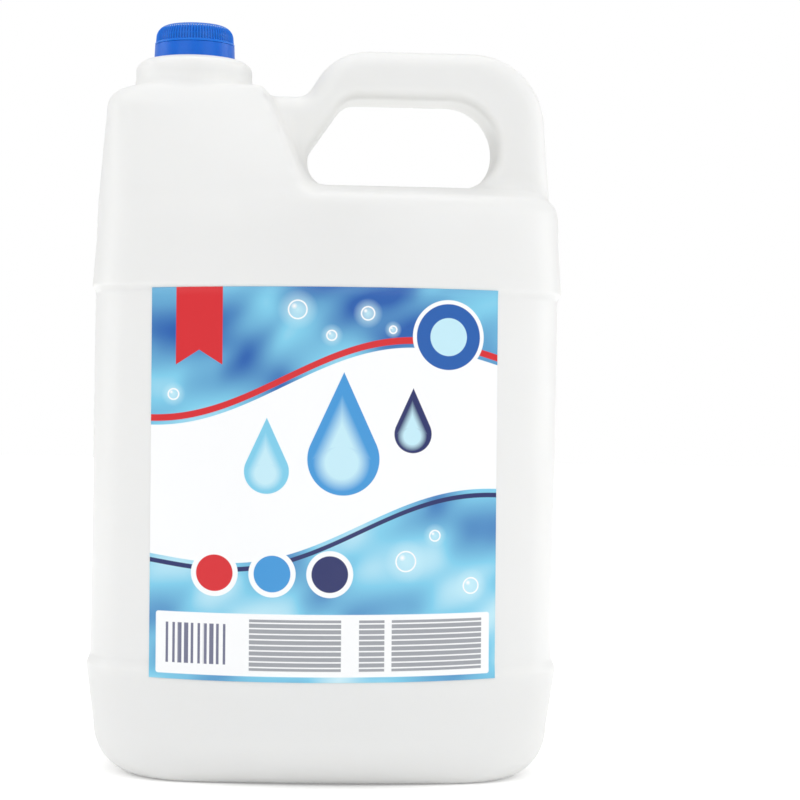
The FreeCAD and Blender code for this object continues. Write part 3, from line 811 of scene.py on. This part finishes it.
def label_form():
    bm = bmesh.new()
    bmesh.ops.create_grid(bm, x_segments=84, y_segments=93, size=0.5)
    turn = Matrix.Rotation(LABEL_TURN, 4, "Y")
    for vert in bm.verts:
        flat = Vector((vert.co.x * LABEL_WIDTH, 0, vert.co.y * (LABEL_HEAD - LABEL_FOOT)))
        place = turn @ flat + LABEL_CENTRE
        depth, outwards = face_depth(place.x, place.z)
        vert.co = (Vector((place.x, -depth, place.z)) + outwards * (LABEL_GAP + LABEL_FILM)) * MM
    bmesh.ops.recalc_face_normals(bm, faces=bm.faces)
    bm.normal_update()
    if sum(face.normal.y for face in bm.faces) > 0:
        bmesh.ops.reverse_faces(bm, faces=bm.faces)
    bmesh.ops.solidify(bm, geom=bm.faces[:], thickness=LABEL_FILM * MM)
    return bm


# %% [markdown]
# The print is flat shapes in the colours of clean water and laundry: blues, white and one red. Each
# shape is a distance in millimetres that is positive inside the shape, and `inside` turns it into a
# mask with a sharp edge. Masks are laid over each other like paper cut-outs. There is no lettering.

# %% Print
SKY, POOL, DEEP = paint(126, 203, 232), paint(62, 150, 214), paint(30, 92, 172)
FOAM, WHITE, NAVY, RED = paint(196, 234, 246), paint(250, 251, 252), paint(28, 38, 98), paint(214, 36, 44)
GREY = paint(128, 132, 140)
PRINT_BLUR = 0.3
STRIP_MIDDLE = -75.5
TEXT_PITCH = 2.6


def disc(u, v, at, radius):
    return radius - ((u - at[0]) ** 2 + (v - at[1]) ** 2).root()


def box(u, v, at, half, corner):
    """Distance into a rectangle with round corners."""
    over_u = (abs(u - at[0]) - (half[0] - corner)).most(0.0)
    over_v = (abs(v - at[1]) - (half[1] - corner)).most(0.0)
    return corner - (over_u * over_u + over_v * over_v).root()


def drop(u, v, at, radius):
    """Distance into a falling drop: a disc with a pointed top twice as high as it is wide."""
    aside, above = abs(u - at[0]), v - at[1]
    slope = 1 / 2.4
    cone = (radius * 2.4 - above) * slope - aside * math.sqrt(1 - slope ** 2)
    return disc(u, v, at, radius).most(cone.least(above - radius * slope))


def label_print():
    mixing = Finish("label_print")
    local = mixing.node("Mapping", {"vector_type": "TEXTURE"}, {
        "Vector": mixing.node("TexCoord", out="Object"),
        "Location": LABEL_CENTRE * MM,
        "Rotation": (0, LABEL_TURN, 0),
        "Scale": (MM, MM, MM),
    })
    u, v = (mixing.node("SeparateXYZ", None, {0: local}, out) for out in (0, 2))
    ink = water(mixing, u, v)
    for distance, colour, blur in shapes(mixing, u, v):
        ink = mixing.mix(distance.inside(blur), ink, colour)
    return mixing.surface(
        Base_Color=ink,
        Roughness=mixing.noise(220.0, 2.0) * 0.08 + 0.26,
        IOR=1.5,
        Specular_IOR_Level=0.35,
        Coat_Weight=0.05,
        Coat_Roughness=0.2,
        Normal=mixing.bump(mixing.noise(60.0, 2.0), 0.12, 0.2),
    )


def water(mixing, u, v):
    """Soft slanting swells of light in blue water."""
    drift = mixing.noise(16.0, 2.0) * 34.0
    swell = ((u * 0.055 + v * 0.085 + drift * 0.14).wave() + 1.0) * 0.5
    fine = ((u * 0.17 - v * 0.21 + drift * 0.36).wave() + 1.0) * 0.5
    height = v * (1 / 190.0) + 0.5
    level = swell * 0.42 + fine * 0.16 + (1.0 - height) * 0.30
    return mixing.node("ValToRGB", {"stops": [
        (0.05, DEEP[:3]), (0.30, POOL[:3]), (0.58, SKY[:3]), (0.86, FOAM[:3])]}, {0: level})


def shapes(mixing, u, v):
    """The cut-outs from the lowest to the topmost: distance inside, colour and blur."""
    crest = (u * 0.030 + 0.6).wave() * 13.0 + u * 0.10 + 48.0
    trough = (u * 0.034 - 0.5).wave() * 9.0 + u * 0.16 - 22.0
    white_band = (crest - v).least(v - trough)
    red_line = 1.6 - abs(v - crest - 3.4)
    navy_line = 1.1 - abs(v - trough + 3.0)
    laid = [(red_line, RED, PRINT_BLUR), (navy_line, NAVY, PRINT_BLUR), (white_band, WHITE, PRINT_BLUR)]
    for at, size, colour in (((8.0, 12.0), 17.0, POOL), ((-28.0, 6.0), 10.5, SKY), ((41.0, 24.0), 9.0, NAVY)):
        laid += [(drop(u, v, at, size), colour, PRINT_BLUR),
                 (drop(u, v, (at[0] - size * 0.05, at[1] - size * 0.1), size * 0.62), FOAM, size * 0.35)]
    badge = (58.0, 70.0)
    laid += [(disc(u, v, badge, 17.5), WHITE, PRINT_BLUR), (disc(u, v, badge, 15.6), DEEP, PRINT_BLUR),
             (disc(u, v, badge, 9.0), FOAM, PRINT_BLUR)]
    ribbon = box(u, v, (-60.0, 78.0), (11.0, 22.0), 0.5)
    notch = v - 63.0 + abs(u + 60.0) * 0.64
    laid.append((ribbon.least(notch), RED, PRINT_BLUR))
    for number, colour in enumerate((RED, POOL, NAVY)):
        at = (-52.0 + number * 27.0, -42.0)
        laid += [(disc(u, v, at, 11.0), WHITE, PRINT_BLUR), (disc(u, v, at, 8.6), colour, PRINT_BLUR)]
    for at, size in (((-14.0, 82.0), 4.6), ((2.0, 70.0), 2.6), ((19.0, 80.5), 3.4), ((31.0, 73.0), 2.0),
                     ((-72.0, 42.0), 2.8), ((38.0, -36.0), 5.0), ((52.0, -24.0), 2.8), ((70.0, -48.0), 4.0)):
        bubble = disc(u, v, at, size)
        laid += [(bubble, FOAM, size * 2.2), (0.35 - abs(bubble - 0.3), WHITE, PRINT_BLUR),
                 (disc(u, v, (at[0] - size * 0.35, at[1] + size * 0.35), size * 0.2), WHITE, size * 0.3)]
    laid.append((box(u, v, (0.0, STRIP_MIDDLE), (79.5, 14.6), 1.2), WHITE, PRINT_BLUR))
    lines = 0.42 - abs(((v - STRIP_MIDDLE) * (math.pi / TEXT_PITCH)).wave())
    left, right, narrow = (box(u, v, (middle, STRIP_MIDDLE), (half, 12.0), 0.1)
                           for middle, half in ((-14.0, 21.5), (53.5, 22.0), (22.0, 6.0)))
    columns = left.most(right).most(narrow)
    laid.append((columns.least(-lines), GREY, PRINT_BLUR))
    bars = (u * 2.1).wave() + (u * 3.7).wave() * 0.6
    laid.append((box(u, v, (-60.0, STRIP_MIDDLE), (15.0, 9.5), 0.1).least(bars), NAVY, PRINT_BLUR))
    return laid


film = add_piece("label_film", label_form(), "bottle", label_print(), ["front_label"])

# %% [markdown]
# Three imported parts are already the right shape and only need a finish: the tamper band, the
# liner under the cap, and the bleach itself.

# %% Parts that keep their shape
def liner_foam():
    mixing = Finish("liner_foam")
    pores = mixing.noise(2200.0, 3.0)
    return mixing.surface(
        Base_Color=mixing.mix(pores, paint(238, 238, 234), paint(226, 226, 222)),
        Roughness=0.6,
        Normal=mixing.bump(pores, 0.3, 0.1),
    )


def bleach_liquid():
    mixing = Finish("bleach_liquid")
    depth = mixing.noise(20.0, 1.0)
    return mixing.surface(
        Base_Color=mixing.mix(depth, paint(240, 243, 205), paint(234, 238, 192)),
        Roughness=0.03,
        IOR=1.34,
        Transmission_Weight=0.6,
    )


def refinish(node, material):
    mesh = nodes[node].data
    mesh.materials.clear()
    mesh.materials.append(material)


refinish("tamper_band", band_plastic)
refinish("cap_liner", liner_foam())
refinish("bleach_fill", bleach_liquid())

# %% [markdown]
# The jug stands on a white sweep in soft light. Large lamps on both sides and above give the plastic
# its gentle turn of light, and a low one in front reaches under the handle. To camera rays the floor
# adds a little glow of its own, so that it meets the white background without a line and still shows
# the jug's soft shadow.

# %% Floor and background
GLOW_START, GLOW_WIDTH = 260.0, 500.0
GLOW_NEAR, GLOW_FAR = 0.28, 0.8


def sweep_paper():
    mixing = Finish("sweep_paper")
    seen = mixing.node("LightPath", out="Is Camera Ray").most(mixing.node("LightPath", out="Is Glossy Ray"))
    fleck = mixing.noise(30.0, 2.0)
    x, y, _ = mixing.place()
    far = ((x * x + y * y).root() - GLOW_START) / GLOW_WIDTH
    return mixing.surface(
        Base_Color=mixing.mix(fleck, paint(246, 246, 246), paint(244, 244, 244)),
        Roughness=0.9,
        Emission_Color=(1.0, 1.0, 1.0, 1.0),
        Emission_Strength=seen * (far.most(0.0).least(1.0) * GLOW_FAR + GLOW_NEAR),
    )


floor_bm = bmesh.new()
bmesh.ops.create_grid(floor_bm, x_segments=1, y_segments=1, size=6.0)
floor_mesh = bpy.data.meshes.new("sweep")
floor_bm.to_mesh(floor_mesh)
floor_bm.free()
floor_mesh.materials.append(sweep_paper())
floor = bpy.data.objects.new("sweep", floor_mesh)
bpy.context.scene.collection.objects.link(floor)

world = bpy.data.worlds.new("studio")
bpy.context.scene.world = world
world.use_nodes = True
sky = world.node_tree.nodes
sky.clear()
links = world.node_tree.links
room = sky.new("ShaderNodeBackground")
room.inputs["Color"].default_value = (1.0, 1.0, 1.0, 1.0)
room.inputs["Strength"].default_value = 0.66
wall = sky.new("ShaderNodeBackground")
wall.inputs["Color"].default_value = (1.0, 1.0, 1.0, 1.0)
wall.inputs["Strength"].default_value = 1.0
choose = sky.new("ShaderNodeMixShader")
ray = sky.new("ShaderNodeLightPath")
out = sky.new("ShaderNodeOutputWorld")
links.new(ray.outputs["Is Camera Ray"], choose.inputs[0])
links.new(room.outputs[0], choose.inputs[1])
links.new(wall.outputs[0], choose.inputs[2])
links.new(choose.outputs[0], out.inputs["Surface"])

# %% Lamps
def add_lamp(name, place, aim, size, watts):
    data = bpy.data.lights.new(name, "AREA")
    data.shape = "RECTANGLE"
    data.size, data.size_y = size
    data.energy = watts
    lamp = bpy.data.objects.new(name, data)
    lamp.location = place
    lamp.rotation_mode = "QUATERNION"
    lamp.rotation_quaternion = (Vector(aim) - Vector(place)).to_track_quat("-Z", "Y")
    bpy.context.scene.collection.objects.link(lamp)


JUG_MIDDLE, JUG_TOP = (0.0, 0.0, 0.18), (0.0, 0.0, 0.30)
add_lamp("front_left", (-0.75, -1.15, 1.0), JUG_TOP, (0.9, 0.9), 3.3)
add_lamp("front_right", (0.85, -1.1, 0.95), JUG_TOP, (0.9, 0.9), 3.1)
add_lamp("left", (-1.5, 0.2, 0.5), JUG_MIDDLE, (0.8, 1.2), 4.4)
add_lamp("right", (1.5, 0.2, 0.5), JUG_MIDDLE, (0.8, 1.2), 5.2)
add_lamp("top", (0.0, 0.1, 1.5), JUG_MIDDLE, (1.2, 1.2), 4.5)
add_lamp("low", (0.15, -1.5, 0.12), JUG_TOP, (1.4, 0.2), 1.0)
